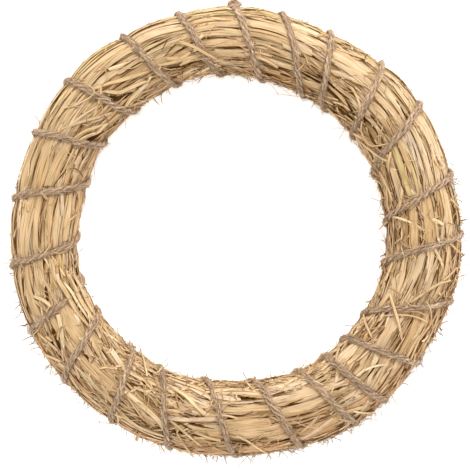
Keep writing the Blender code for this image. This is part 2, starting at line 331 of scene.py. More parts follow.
def joined_copies(name, faces, points, along, across, looks, material):
    """One mesh of all the bent copies of a strand, with its own run of the grain and its own look."""
    copies, corners = points.shape[:2]
    sizes = np.array([len(face) for face in faces])
    loops = (np.concatenate(faces)[None, :] + corners * np.arange(copies)[:, None]).ravel()
    starts = np.concatenate([[0], np.cumsum(np.tile(sizes, copies))[:-1]])
    mesh = bpy.data.meshes.new(name)
    mesh.vertices.add(copies * corners)
    mesh.vertices.foreach_set("co", points.reshape(-1).astype(np.float32))
    mesh.loops.add(len(loops))
    mesh.loops.foreach_set("vertex_index", loops.astype(np.int32))
    mesh.polygons.add(len(starts))
    mesh.polygons.foreach_set("loop_start", starts.astype(np.int32))
    mesh.update(calc_edges=True)
    run = mesh.uv_layers.new(name="run")
    run.uv.foreach_set("vector", np.stack([along, across], -1).reshape(-1, 2)[loops].ravel())
    look = mesh.color_attributes.new("look", "FLOAT_COLOR", "POINT")
    look.data.foreach_set("color", looks.reshape(-1).astype(np.float32))
    mesh.shade_smooth()
    mesh.set_sharp_from_angle(angle=math.radians(50))
    mesh.validate()
    thing = bpy.data.objects.new(name, mesh)
    bpy.context.scene.collection.objects.link(thing)
    mesh.materials.append(material)
    return thing


def straw_finish(name, shades, roughness):
    """Dry straw: a tone for each straw, fine lengthwise grain, painted shade in thin dark slits along it
    and at its edges, and a slight gloss.

    The look of a strand is its tone, its tint, how far across it a place lies and half its width in cm.
    """
    finish = Finish(name, roughness, 0.2)
    blend, spread, grain = finish.blend, finish.spread, finish.grain
    tone, tint, aside, half_width = finish.looks()
    fibres, blotches, slit_shade = grain(70.0, 1700.0, 3.0), grain(90.0, 620.0, 2.0), grain(40.0, 1100.0, 1.0)
    base = finish.ramp(tone, shades)
    base = blend("MIX", spread(tint, 0.0, 0.40, 0.42, 0.0), base, linear(207, 189, 150))
    base = blend("MIX", spread(tint, 0.0, 0.10, 0.50, 0.0), base, linear(207, 183, 108))
    base = blend("MIX", spread(tint, 0.6, 1.0, 0.0, 0.55), base, linear(204, 148, 104))
    grooves = blend("MIX", spread(fibres, 0.30, 0.70, 0.0, 1.0), (0.79, 0.74, 0.67), (1.13, 1.16, 1.23))
    base = blend("MULTIPLY", 1.0, base, grooves)
    weather = blend("MIX", spread(blotches, 0.3, 0.7, 0.0, 1.0), (0.82, 0.79, 0.74), (1.11, 1.13, 1.18))
    base = blend("MULTIPLY", 1.0, base, weather)
    base = blend("MIX", spread(grain(45.0, 180.0, 2.0), 0.50, 0.70, 0.0, 0.55), base, linear(182, 162, 130))
    # Painted shade: thin dark slits drawn along the straw, where split strips part.
    base = blend("MIX", spread(slit_shade, 0.30, 0.41, 0.85, 0.0), base, linear(116, 74, 26))
    # Painted shade: each straw darkens to brown close to its edges, where it meets the next.
    from_edge = finish.product(spread(aside, 0.0, 1.0, 1.0, 0.0), half_width)
    edge_shade = finish.product(spread(aside, 0.66, 0.98, 0.0, 0.80), spread(from_edge, 0.012, 0.040, 1.0, 0.0))
    finish.join(blend("MIX", edge_shade, base, linear(98, 56, 10)), finish.shader["Base Color"])
    finish.bump(fibres, 0.4, 0.0003)
    finish.join(spread(blotches, 0.2, 0.8, roughness - 0.08, roughness + 0.12), finish.shader["Roughness"])
    return finish.material


bound_finish = straw_finish("dry straw", (
    (0.0, (84, 46, 6)),
    (0.12, (130, 86, 26)),
    (0.25, (177, 134, 75)),
    (0.5, (213, 179, 133)),
    (0.75, (226, 200, 165)),
    (1.0, (235, 218, 194)),
), 0.66)
GIRTH = math.tau * BUNDLE_RADIUS
# A straw tapers to its tips over this share of a bunch. The grain runs this many metres a bunch, and is
# moved this far along and across from one straw to another, so that no two look alike.
TIP_REACH = 0.18
BUNCH_RUN = 0.034
GRAIN_ALONG, GRAIN_ACROSS = 3.1, 0.37
SIDE_SWING = 0.0008
TONE_JITTER = 0.03
CM_OF_HALF = 50
BLADE = strand_blank(6, (6,))
STALK = strand_blank(4, (5,))
SLIT = strand_blank(3, (3,))


# Where the straw lies loose and broken: ring and section angle, how far each way, and how much.
UNTIDY_PATCHES = (
    (104, 135, 10, 26, 0.7), (142, 122, 7, 22, 0.6), (38, 150, 24, 28, 0.7), (4, 90, 12, 80, 0.5),
    (-18, 20, 18, 45, 0.7), (-52, 5, 24, 45, 0.7), (-82, 8, 22, 40, 0.7), (-112, 80, 24, 70, 0.6),
    (-122, 160, 30, 34, 0.9), (-72, 162, 28, 30, 0.9), (-28, 150, 24, 36, 0.6), (-142, 5, 14, 38, 0.8),
    (-165, 110, 8, 50, 0.5), (60, 270, 70, 60, 0.4), (240, 270, 70, 60, 0.4),
    (72, 162, 36, 24, 0.6), (122, 165, 26, 22, 0.45), (-98, 2, 30, 30, 0.8), (-140, 60, 10, 26, 0.6),
)


def untidy(angle, section):
    """How loose and broken the straw lies at a place, from 0 to 1."""
    amount = 0.10 + 0.12 * packing(angle, section, 5)
    for ring_place, section_place, along, across, much in UNTIDY_PATCHES:
        ring_off = (np.degrees(angle) - ring_place + 180) % 360 - 180
        section_off = (np.degrees(section) - section_place + 180) % 360 - 180
        amount = np.maximum(amount, much * np.exp(-((ring_off / along) ** 2) - (section_off / across) ** 2))
    return np.clip(amount, 0, 1)


# Between two turns of the twine the straws slant one way, as the hand laid that bunch: by this many
# degrees at the outer side, on top and at the inner side.
SLANTS = np.array((
    (0, 0, -4), (0, 5, 0), (4, 4, 10), (2, 4, 0), (-3, 0, 3), (3, 2, -3), (-3, 6, 0), (-5, 0, 4),
    (-8, -8, 4), (6, 7, 13), (-3, 3, 5), (3, 0, 0), (0, 3, 10), (3, 13, 10), (3, 9, 8), (0, 12, 3),
    (6, 12, 8), (-6, 5, 0), (-4, -6, 8), (0, 8, 5), (2, 3, 2), (0, -5, 8), (2, 0, 0),
))
SLANT_TURNS = np.array((0.09, 0.25, 0.41))
SLANT_REACH = 0.16
BUNCH_LENGTHS = -np.radians(np.diff(np.append(WRAP_ANGLES, WRAP_ANGLES[0] - 360))) * RING_RADIUS


def straw_runs(rng, lanes, lengths, jitter, slope, kept):
    """Straws end to end in lanes round the bundle. Each has a start, an end, a turn and a slope."""
    rows = []
    for lane in range(lanes):
        place = rng.uniform(0, lengths[1])
        last = place + WRAPS
        while place < last:
            length = rng.uniform(*lengths)
            turn = (lane + rng.normal(0, jitter)) / lanes
            middle = np.array(place + length / 2)
            rough = untidy(ring_angle(middle, np.array(turn)), math.tau * turn)
            if rng.random() < kept[0] + (kept[1] - kept[0]) * rough:
                lean = rng.normal(0, slope * (0.6 + 1.6 * rough))
                rows.append((place, min(place + length, last), turn, lean))
            place += length * rng.uniform(0.90, 1.05)
    return np.array(rows)


def bind(
    name, rng, blank, rows, widths, heights, thickness, tones, crown, roll, tip, tone_swing=0.10, shade=0.0
):
    """Bends a copy of the blank for each stretch of straw between two turns of the twine.

    A row is a start, an end, a turn and a slope. A straw laid in its real place also has its width
    in mm, and may have its tone and its tint.
    """
    points, faces = blank
    laid = rows.shape[1] > 4
    count = len(rows)
    width = rng.uniform(0, 1, count) ** 1.6 * (widths[1] - widths[0]) + widths[0]
    height = rng.uniform(*heights, count)
    tone = rng.normal(*tones, count)
    hue = rng.normal(0.5, 0.15, count)
    tilt = rng.normal(0, roll, count)
    wave = rng.uniform(0, 1, count)
    swing = rng.normal(0, SIDE_SWING, count)
    tips = rng.uniform(*tip, (count, 2))
    if laid:
        width = rows[:, 4] / 1000
    if rows.shape[1] > 5:
        tone, hue = rows[:, 5], rows[:, 6]
    stretches = []
    for straw, (start, end, *_) in enumerate(rows):
        place = start
        while place < end - 0.02:
            stop = min(math.floor(place + 1.0001), end)
            stretches.append((straw, place, stop))
            place = stop
    straw = np.array([stretch[0] for stretch in stretches])
    low, high = (np.array([stretch[column] for stretch in stretches])[:, None] for column in (1, 2))
    start, end, turn, slope = (rows[straw, column][:, None] for column in range(4))
    share = 0.5 - 0.5 * np.cos(math.pi * points[None, :, 2])
    pitch = low + (high - low) * share
    middle = turn + slope * (pitch - (start + end) / 2)
    bends = np.sin(math.tau * (0.45 * pitch + wave[straw][:, None]))
    middle = middle + swing[straw][:, None] / GIRTH * bends
    bunch = np.floor(low).astype(int) % WRAPS
    near = np.clip(1 - np.abs(turn % 1 - SLANT_TURNS) / SLANT_REACH, 0, 1)
    slant = np.tan(np.radians((near * SLANTS[bunch[:, 0]]).sum(axis=1, keepdims=True)))
    if laid:
        slant = 0.0
    middle = middle + slant * BUNCH_LENGTHS[bunch] / GIRTH * (pitch - np.floor(low) - 0.5)
    first, last = tips[straw, 0][:, None], tips[straw, 1][:, None]
    taper = first + (1 - first) * np.clip((pitch - start) / TIP_REACH, 0, 1)
    taper = taper * (last + (1 - last) * np.clip((end - pitch) / TIP_REACH, 0, 1))
    half = 0.5 * width[straw][:, None] * taper
    across = points[None, :, 0] * half
    up = height[straw][:, None] + crown * half * (1 - points[None, :, 0] ** 2)
    up = up + 0.5 * thickness * points[None, :, 1] + np.tan(tilt[straw][:, None]) * across
    place = on_bundle(pitch, middle + across / GIRTH, up)
    angle = np.arctan2(place[..., 1], place[..., 0]).mean(1)
    section = math.tau * turn[:, 0]
    looks = np.ones((*place.shape[:2], 4))
    away_from_lamp = -np.sin(angle) * np.cos(section)
    inner_side = np.clip(-np.cos(section), 0, 1)
    rough = untidy(angle, section)
    # Painted shade in the tone: with shade set, lower layers are darker where the straw lies untidy, as if
    # shaded by the straws over them.
    shift = tone_swing * packing(angle, section, 2) - shade * rough + rng.normal(0, TONE_JITTER, len(straw))
    # Painted light and shade: sides that face away from the lamps are made darker, those facing them
    # lighter.
    shift = shift - away_from_lamp * (0.02 + 0.11 * inner_side)
    shift = shift - 0.08 * np.clip(away_from_lamp, 0, 1) * (1 - inner_side)
    looks[..., 0] = np.clip(tone[straw] + shift, 0, 1)[:, None]
    warm = 0.14 * packing(angle, section, 3) + 0.20 * (rough - 0.4) + 0.15 * np.cos(angle + 1.0)
    # Painted bounce light: sides that face away from the lamps are tinted warmer.
    warm = warm + 0.01 + 0.26 * away_from_lamp
    if rows.shape[1] > 5:
        warm = np.clip(warm, 0, 1)
    looks[..., 1] = np.clip(hue[straw] + warm, 0, 1)[:, None]
    looks[..., 2] = np.abs(points[None, :, 0])
    looks[..., 3] = CM_OF_HALF * width[straw][:, None]
    along = pitch * BUNCH_RUN + GRAIN_ALONG * wave[straw][:, None]
    across = across + GRAIN_ACROSS * wave[straw][:, None]
    piece = joined_copies(name, faces, place, along, across, looks, bound_finish)
    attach(piece, "root")
    return piece


rng = np.random.default_rng(31)
bind(
    "deep_straws", rng, BLADE,
    straw_runs(rng, lanes=28, lengths=(1.5, 4.0), jitter=0.25, slope=0.012, kept=(1.0, 1.0)),
    widths=(0.0050, 0.0085), heights=(-0.0016, -0.0009), thickness=0.0004, tones=(0.42, 0.08),
    crown=0.08, roll=0.05, tip=(0.4, 0.8), shade=0.20,
)
bind(
    "broad_straws", rng, BLADE,
    straw_runs(rng, lanes=48, lengths=(0.9, 3.5), jitter=0.30, slope=0.016, kept=(0.98, 0.85)),
    widths=(0.0024, 0.0066), heights=(-0.0013, -0.0003), thickness=0.0005, tones=(0.57, 0.08),
    crown=0.16, roll=0.08, tip=(0.3, 0.9), shade=0.16,
)
bind(
    "narrow_straws", rng, STALK,
    straw_runs(rng, lanes=62, lengths=(0.5, 2.4), jitter=0.45, slope=0.024, kept=(0.32, 0.80)),
    widths=(0.0010, 0.0028), heights=(-0.0009, 0.0), thickness=0.0009, tones=(0.58, 0.11),
    crown=0.12, roll=0.08, tip=(0.2, 0.8),
)
bind(
    "fine_straws", rng, STALK,
    straw_runs(rng, lanes=72, lengths=(0.3, 1.6), jitter=0.5, slope=0.036, kept=(0.05, 0.48)),
    widths=(0.0006, 0.0016), heights=(-0.0005, 0.0004), thickness=0.0006, tones=(0.60, 0.13),
    crown=0.10, roll=0.10, tip=(0.1, 0.6),
)
# Painted shade: thin strips in the heart's dark colour lie among the straws where the shade between two of
# them would show.
slivers = bind(
    "painted_shade_slivers", rng, SLIT,
    straw_runs(rng, lanes=84, lengths=(0.08, 0.55), jitter=0.5, slope=0.014, kept=(0.26, 0.95)),
    widths=(0.0003, 0.0013), heights=(-0.0003, 0.0002), thickness=0.0003, tones=(0.02, 0.04),
    crown=0.0, roll=0.05, tip=(0.05, 0.2), tone_swing=0.0,
)
gaps = bind(
    "painted_shade_gaps", rng, SLIT,
    straw_runs(rng, lanes=58, lengths=(0.10, 0.34), jitter=0.5, slope=0.030, kept=(0.03, 1.00)),
    widths=(0.0008, 0.0026), heights=(-0.0003, 0.0001), thickness=0.0003, tones=(0.02, 0.04),
    crown=0.0, roll=0.05, tip=(0.05, 0.2), tone_swing=0.0,
)
for shaded in (slivers, gaps):
    shaded.data.materials[0] = painted_shade_finish
bind(
    "slanting_straws", rng, BLADE,
    straw_runs(rng, lanes=36, lengths=(0.4, 1.5), jitter=0.5, slope=0.050, kept=(0.12, 1.00)),
    widths=(0.0016, 0.0048), heights=(-0.0004, 0.0007), thickness=0.0006, tones=(0.58, 0.10),
    crown=0.14, roll=0.08, tip=(0.3, 0.9),
)

# Broad leaf sheaths. Wide, smooth ones were laid on last. They are thin and slightly crowned.
SHEATH = strand_blank(8, (7,))
sheath_rows = []
while len(sheath_rows) < 46:
    place, turn = rng.uniform(0, WRAPS), rng.uniform(0, 1)
    angle = float(ring_angle(np.array(place), np.array(turn)))
    chance = (1.1 - 1.3 * untidy(angle, math.tau * turn)) * (0.35 if 0.02 < turn < 0.45 else 1.0)
    if rng.random() < chance:
        start = math.floor(place) + rng.choice([0.0, rng.uniform(0, 0.5)])
        end = math.ceil(place) + rng.choice([0.0, 1.0, rng.uniform(-0.4, 0.4)])
        sheath_rows.append((start, max(end, start + 0.5), turn, rng.normal(0, 0.012)))
bind(
    "leaf_sheaths", rng, SHEATH, np.array(sheath_rows),
    widths=(0.0055, 0.0100), heights=(-0.0003, 0.0003), thickness=0.0004, tones=(0.52, 0.07),
    crown=0.08, roll=0.04, tip=(0.5, 0.9),
)


def laid_rows(table, columns):
    """Rows for bind, from a table with the straws of each bunch. A slope stands last, if there is one."""
    rows = []
    for bunch, straws in enumerate(table):
        for start, end, place, *rest in straws:
            slope = rest[columns] if len(rest) > columns else 0.0
            rows.append((bunch + start / 100, bunch + end / 100, place / 1000, slope, *rest[:columns]))
    return np.array(rows)


# The widest blades, where the real wreath has them, for each bunch: start and end in hundredths of the
# bunch, place in thousandths of the way round the bundle, width in mm, tone, tint and slope.
LAID_BLADES = (
    ((0, 100, 175, 6, 0.52, 0.4), (0, 100, 225, 5.6, 0.52, 0.35), (0, 100, 325, 4.2, 0.58, 0.25)),
    ((0, 100, 125, 5, 0.57, 0.35), (0, 100, 180, 7.5, 0.52, 0.35), (0, 100, 368, 5, 0.56, 0.2)),
    ((0, 100, 205, 9.5, 0.54, 0.25, 0.01), (0, 100, 162, 4, 0.58, 0.35, 0.02)),
    ((0, 100, 190, 4.6, 0.57, 0.4), (0, 100, 228, 4.6, 0.57, 0.35), (0, 100, 275, 6.4, 0.5, 0.2)),
    ((0, 100, 268, 4, 0.5, 0), (0, 100, 303, 4.4, 0.51, 0), (0, 100, 342, 5.4, 0.56, 0.4),
     (0, 100, 153, 4.4, 0.56, 0.35), (0, 100, 195, 3.8, 0.54, 0.3)),
    ((0, 100, 150, 6.2, 0.53, 0.25), (0, 100, 240, 7.2, 0.51, 0.3), (10, 100, 305, 5.6, 0.47, 0.3)),
    ((0, 100, 285, 5, 0.52, 0.35, 0.03), (0, 60, 235, 4.2, 0.62, 0.3), (0, 100, 345, 4.4, 0.53, 0.35)),
    ((0, 100, 290, 6.6, 0.46, 0.35), (0, 100, 200, 4.8, 0.5, 0.2, -0.03)),
    ((0, 85, 375, 8, 0.62, 0.45), (0, 100, 335, 4, 0.57, 0.35), (0, 100, 205, 4.5, 0.55, 0.15, -0.04)),
    ((0, 100, 290, 5, 0.56, 0.4, 0.03),),
    ((0, 100, 385, 7.5, 0.6, 0.45), (0, 100, 335, 4.8, 0.54, 0.5), (0, 100, 270, 6, 0.54, 0.3),
     (10, 90, 155, 5.6, 0.5, 0.35)),
    ((0, 100, 385, 6.4, 0.58, 0.4), (0, 100, 305, 4.6, 0.55, 0.3), (20, 100, 235, 8.5, 0.5, 0.35)),
    ((0, 60, 215, 5, 0.44, 0.02), (0, 50, 318, 4.4, 0.6, 0.4, 0.15),
     (10, 100, 290, 4.6, 0.53, 0.4, 0.04)),
    ((20, 100, 225, 5.6, 0.53, 0.1, 0.1),),
    ((10, 95, 238, 9, 0.48, 0.35), (0, 100, 185, 3.4, 0.56, 0.2, 0.01)),
    ((0, 100, 288, 11.5, 0.46, 0.3), (0, 100, 222, 5.2, 0.49, 0.35)),
    ((0, 100, 170, 4.4, 0.47, 0.35), (0, 100, 215, 4.6, 0.49, 0.3), (0, 100, 250, 4.4, 0.5, 0.25),
     (0, 100, 300, 4.4, 0.5, 0.35)),
    ((0, 100, 178, 10, 0.48, 0.3, 0.05), (0, 100, 228, 4, 0.49, 0.25), (0, 100, 283, 4.8, 0.5, 0.2),
     (0, 100, 323, 5.6, 0.51, 0.2), (10, 90, 374, 6.4, 0.51, 0.2, -0.02)),
    ((0, 100, 110, 6.4, 0.45, 0.2), (0, 100, 150, 3.8, 0.43, 0.15), (0, 100, 200, 9, 0.45, 0.3),
     (10, 100, 268, 7.6, 0.44, 0.2, 0.03)),
    ((0, 100, 170, 6, 0.44, 0.16, 0.02), (0, 100, 134, 3.4, 0.47, 0.3), (0, 100, 214, 3.2, 0.51, 0.35),
     (0, 90, 245, 3.4, 0.51, 0.4)),
    ((0, 100, 176, 8, 0.43, 0.14), (0, 100, 137, 3.4, 0.48, 0.6), (0, 100, 110, 2.7, 0.52, 0.35),
     (0, 70, 227, 5, 0.53, 0.2), (50, 100, 245, 3, 0.53, 0.2, -0.02)),
    ((0, 100, 158, 7.2, 0.54, 0.45), (0, 100, 120, 3, 0.54, 0.35), (50, 100, 335, 4.8, 0.55, 0.12),
     (0, 100, 440, 8, 0.4, 0.95)),
    ((0, 100, 165, 4.3, 0.58, 0.45), (0, 100, 193, 4.2, 0.57, 0.45), (0, 100, 230, 5.6, 0.54, 0.35),
     (0, 100, 275, 5.6, 0.53, 0.35), (0, 100, 325, 5.6, 0.53, 0.18)),
)
bind(
    "laid_blades", rng, SHEATH, laid_rows(LAID_BLADES, 3),
    widths=(0.0, 0.0), heights=(0.0001, 0.0005), thickness=0.0004, tones=(0.5, 0.0),
    crown=0.07, roll=0.03, tip=(0.5, 1.0),
)
# Narrow straws that lie side by side along the outer rim on the left.
RIM_TURNS = (0.03, 0.07)
RIM_WIDTH = 3.2
RIM_STRAWS = [(wrap, wrap + 1, turn, 0, RIM_WIDTH) for wrap in range(13, 23) for turn in RIM_TURNS]
bind(
    "rim_straws", rng, BLADE, np.array(RIM_STRAWS),
    widths=(0.0, 0.0), heights=(0.0, 0.0004), thickness=0.0004, tones=(0.55, 0.06),
    crown=0.12, roll=0.04, tip=(0.6, 1.0),
)
# Painted shade: dark strips where two straws lie apart and the shade between them would show, in the same
# terms, without tone and tint.
LAID_GAPS = (
    ((45, 88, 150, 1.1), (10, 40, 150, 0.8), (20, 90, 200, 0.5), (15, 45, 255, 0.8), (40, 90, 300, 0.8),
     (10, 90, 345, 1), (20, 90, 362, 0.9), (10, 60, 410, 1.4), (30, 80, 430, 1.2)),
    ((45, 92, 155, 1.2), (10, 35, 200, 1.1), (35, 70, 215, 0.8, 0.02), (12, 40, 265, 1.2),
     (30, 85, 300, 0.7, 0.03), (20, 80, 325, 0.9), (10, 50, 350, 0.8), (15, 80, 420, 2),
     (20, 80, 395, 1)),
    ((20, 50, 90, 1.1), (55, 95, 125, 1), (45, 70, 142, 0.8), (20, 80, 270, 0.6), (30, 90, 300, 0.8),
     (20, 70, 335, 0.9), (20, 80, 375, 1), (15, 90, 395, 1.3)),
    ((35, 85, 160, 1), (5, 50, 122, 1), (15, 40, 155, 0.7), (30, 80, 208, 0.5), (30, 90, 250, 0.5),
     (20, 90, 310, 0.8), (20, 80, 340, 0.8), (50, 70, 242, 1)),
    ((25, 55, 160, 1.1), (5, 60, 285, 0.8), (20, 90, 322, 0.7), (30, 70, 250, 0.7),
     (5, 30, 205, 0.9, 0.03), (0, 20, 175, 0.8), (10, 80, 370, 0.8), (20, 80, 215, 0.5)),
    ((30, 55, 172, 0.9), (10, 50, 215, 0.5), (30, 80, 268, 0.7), (20, 90, 335, 0.6), (10, 90, 400, 0.9),
     (5, 50, 85, 0.9), (70, 85, 235, 1)),
    ((40, 75, 275, 1.1, 0.04), (15, 50, 325, 0.9), (10, 35, 360, 0.8), (50, 85, 300, 0.8, 0.03),
     (10, 40, 170, 0.9), (10, 35, 130, 0.8), (35, 60, 245, 0.8)),
    ((10, 60, 330, 0.7), (30, 80, 250, 0.7), (30, 70, 160, 0.9), (40, 80, 120, 0.8)),
    ((20, 80, 243, 1.1, -0.03), (30, 95, 165, 1.2, -0.04), (10, 40, 100, 1.1), (50, 80, 300, 0.9),
     (40, 80, 345, 0.8), (30, 70, 215, 0.7, -0.03), (50, 90, 120, 1)),
    ((68, 90, 130, 2), (30, 60, 250, 0.7, 0.04), (40, 70, 200, 0.6, 0.04), (20, 60, 300, 0.8, 0.04),
     (70, 90, 80, 1.2)),
    ((70, 86, 168, 2), (28, 44, 200, 1.2), (20, 36, 374, 1.4), (50, 95, 360, 0.8), (40, 95, 300, 0.7),
     (70, 90, 222, 0.8), (10, 50, 100, 1.2)),
    ((20, 62, 351, 1.2), (60, 82, 320, 1.4), (40, 62, 282, 0.9, -0.05), (65, 88, 283, 0.8),
     (50, 90, 155, 1.8), (10, 50, 265, 0.5), (30, 70, 420, 0.7)),
    ((60, 92, 355, 1.3, 0.16), (20, 46, 332, 0.9, 0.13), (50, 82, 260, 1.4, 0.06), (15, 55, 220, 1.2),
     (50, 90, 220, 1.8, 0.08), (20, 50, 130, 0.9, -0.05), (10, 50, 390, 0.8)),
    ((60, 95, 310, 1.1, -0.05), (5, 60, 108, 1.2, 0.03), (15, 60, 165, 1.1, 0.12),
     (5, 35, 232, 0.9, 0.08), (20, 80, 375, 0.8), (30, 70, 400, 0.8, 0.05)),
    ((70, 93, 257, 1.8, 0.05), (5, 95, 172, 0.8), (15, 50, 120, 1.2), (10, 55, 315, 0.7, 0.03),
     (50, 80, 290, 0.6, 0.03)),
    ((35, 80, 160, 2.4, 0.02), (30, 90, 237, 0.8, 0.03), (10, 90, 207, 0.7), (30, 50, 110, 1),
     (4, 25, 155, 1.4), (10, 90, 362, 0.7), (20, 80, 385, 0.6)),
    ((45, 72, 276, 1.2, 0.04), (50, 85, 200, 0.7, 0.03), (15, 35, 187, 0.9), (12, 35, 222, 1),
     (10, 25, 243, 1), (20, 40, 130, 1.2), (40, 90, 330, 0.8)),
    ((62, 97, 117, 0.6), (20, 50, 127, 0.8, -0.03), (50, 96, 301, 1.1), (5, 50, 296, 0.7),
     (10, 50, 252, 0.6), (30, 48, 338, 0.8), (50, 90, 352, 0.6), (15, 60, 398, 0.8)),
    ((15, 68, 171, 0.8), (60, 97, 210, 0.9, -0.04), (60, 87, 237, 0.8), (10, 45, 297, 1.2, 0.09),
     (30, 80, 130, 0.5)),
    ((20, 55, 131, 0.9, 0.01), (20, 80, 186, 0.7, 0.04), (72, 93, 203, 1.8, 0.02), (30, 70, 150, 0.5)),
    ((15, 95, 100, 0.8), (20, 75, 122, 0.7), (70, 95, 150, 0.6), (10, 72, 206, 1.3, -0.01),
     (72, 98, 200, 0.6), (50, 88, 232, 0.8, -0.02), (45, 95, 258, 0.7, -0.01)),
    ((15, 50, 196, 1.1), (20, 60, 95, 0.8), (20, 62, 213, 0.8, -0.04), (30, 55, 228, 1.1, -0.14),
     (27, 75, 255, 0.8, -0.1), (50, 85, 272, 0.7, -0.08), (30, 92, 352, 1.6), (10, 50, 320, 0.8),
     (60, 90, 305, 0.8), (30, 90, 400, 1)),
    ((10, 90, 145, 0.6), (20, 80, 178, 0.4), (10, 90, 250, 0.4), (20, 98, 297, 0.8), (60, 75, 262, 0.8),
     (75, 93, 325, 1.3), (35, 90, 360, 1), (80, 98, 450, 1.5), (10, 60, 220, 0.5)),
)
painted_laid_gaps = bind(
    "painted_laid_gaps", rng, STALK, laid_rows(LAID_GAPS, 1),
    widths=(0.0, 0.0), heights=(0.0006, 0.0008), thickness=0.0003, tones=(0.02, 0.0),
    crown=0.0, roll=0.05, tip=(0.05, 0.3),
)
painted_laid_gaps.data.materials[0] = painted_shade_finish


# Loose straws. Some straws have worked out from under the twine and lie across the others or
# stick out, flat and curled. The larger ones lie where the real wreath has them.
loose_finish = straw_finish("loose straw", (
    (0.0, (120, 84, 48)),
    (0.25, (184, 146, 98)),
    (0.5, (216, 180, 130)),
    (0.75, (234, 204, 154)),
    (1.0, (246, 224, 182)),
), 0.55)
RIBBON = strand_blank(4, (11,))
HAIR = strand_blank(3, (5,))


def unit_length(vectors):
    return vectors / np.linalg.norm(vectors, axis=-1, keepdims=True)


def bend_along(name, blank, courses, outward, width, thickness, tips, looks, material, dish=0.0):
    """Bends copies of a strand along courses of points, flat side outward, each with its own width."""
    points, faces = blank
    stations = courses.shape[1]
    station = np.round(points[:, 2] * (stations - 1)).astype(int)
    forward = unit_length(np.gradient(courses, axis=1))
    side = unit_length(np.cross(forward, outward))
    up = np.cross(side, forward)
    share = np.linspace(0, 1, stations)
    taper = tips[:, :1] + (1 - tips[:, :1]) * np.clip(share / 0.2, 0, 1)
    taper = taper * (tips[:, 1:] + (1 - tips[:, 1:]) * np.clip((1 - share) / 0.2, 0, 1))
    half = 0.5 * width[:, None] * taper
    lengths = np.linalg.norm(np.diff(courses, axis=1), axis=2)
    length = np.concatenate([np.zeros((len(courses), 1)), np.cumsum(lengths, axis=1)], axis=1)
    across = points[None, :, 0] * half[:, station]
    lift = 0.5 * thickness * points[None, :, 1] - dish * half[:, station] * points[None, :, 0] ** 2
    place = courses[:, station] + across[..., None] * side[:, station] + lift[..., None] * up[:, station]
    place[..., 2] = np.maximum(place[..., 2], TABLE_GAP)
    full = np.ones((*place.shape[:2], 4))
    full[..., :2] = looks[:, None, :]
    full[..., 2] = np.abs(points[None, :, 0])
    full[..., 3] = CM_OF_HALF * width[:, None]
    shift = np.arange(len(courses))[:, None]
    piece = joined_copies(
        name, faces, place, length[:, station] + 0.173 * shift, across + 0.071 * shift, full, material
    )
    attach(piece, "root")
    return piece


def outward_at(angle, section):
    return over_bundle(angle, section, 1.0) - over_bundle(angle, section, 0.0)


def through(values, share):
    """A smooth course through the stations of a straw."""
    values = np.asarray(values, float)
    spans = len(values) - 1
    span = np.minimum((share * spans).astype(int), spans - 1)
    before, start, end, after = (values[np.clip(span + step, 0, spans)] for step in (-1, 0, 1, 2))
    return smooth(before, start, end, after, (share * spans - span)[:, None])


